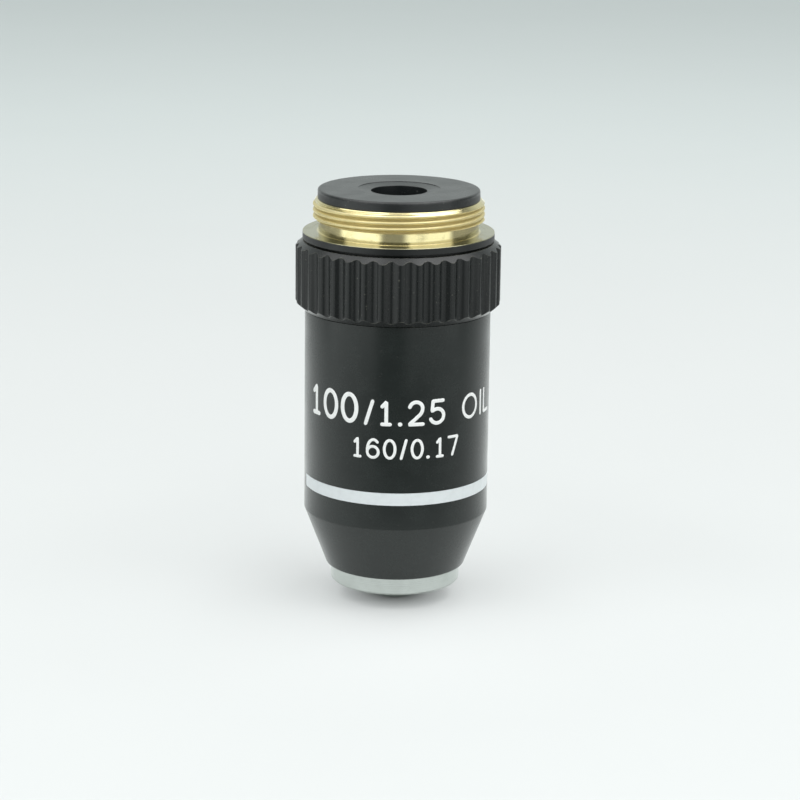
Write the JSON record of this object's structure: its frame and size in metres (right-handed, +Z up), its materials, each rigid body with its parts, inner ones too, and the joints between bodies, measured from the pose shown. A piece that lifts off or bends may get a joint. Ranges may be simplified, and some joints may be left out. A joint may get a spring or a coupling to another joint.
{
  "type": "microscope objective",
  "caption": "Oil immersion microscope objective with a standard mounting thread, a scalloped grip collar and a spring-loaded nose.",
  "frame": {"origin": "centre of the flat tip of the nose, the lowest point, with the objective standing on its tip", "axes": "+Z up the optical axis, from the front lens to the mounting thread; -Y faces the camera and the marked side"},
  "size_m": [0.0242, 0.0242, 0.0497],
  "materials": {
    "machined_brass": "turned bright, thin lacquer",
    "black_plate": "satin black",
    "black_barrel": "satin black",
    "black_collar": "satin black",
    "white_band": "matt white paint in a groove",
    "satin_nickel": "satin nickel plate",
    "spring_steel": "drawn wire",
    "pin_steel": "ground",
    "inner_brass": "as turned",
    "inner_black": "matt black, against stray light",
    "crown_glass": "polished, coated",
    "flint_glass": "polished, coated"
  },
  "bodies": {
    "housing": {"mount_ring": "machined_brass", "rear_plate": "black_plate", "barrel": "black_barrel", "colour_band": "white_band", "knurled_collar": "black_collar", "spring_ring": "inner_brass", "guide_pin": "pin_steel", "spring": "spring_steel"},
    "lens_unit": {"lens_tube": "satin_nickel", "stop_ring": "inner_brass", "front_cell": "satin_nickel", "front_lens": "crown_glass", "meniscus_lens": "crown_glass", "meniscus_cell": "inner_brass", "front_spacer": "inner_black", "middle_crown": "crown_glass", "middle_flint": "flint_glass", "middle_cell": "inner_brass", "rear_spacer": "inner_black", "rear_crown": "crown_glass", "rear_flint": "flint_glass", "rear_cell": "inner_brass", "aperture_stop": "inner_black", "lock_ring": "inner_black"}
  },
  "joints": [
    {"name": "nose_slide", "type": "slide", "parent": "housing", "child": "lens_unit", "axis": [0, 0, 1], "range_m": [0, 0.0018], "stiffness_N_per_m": 600, "springref_m": -0.004, "deforming": ["spring"]}
  ]
}
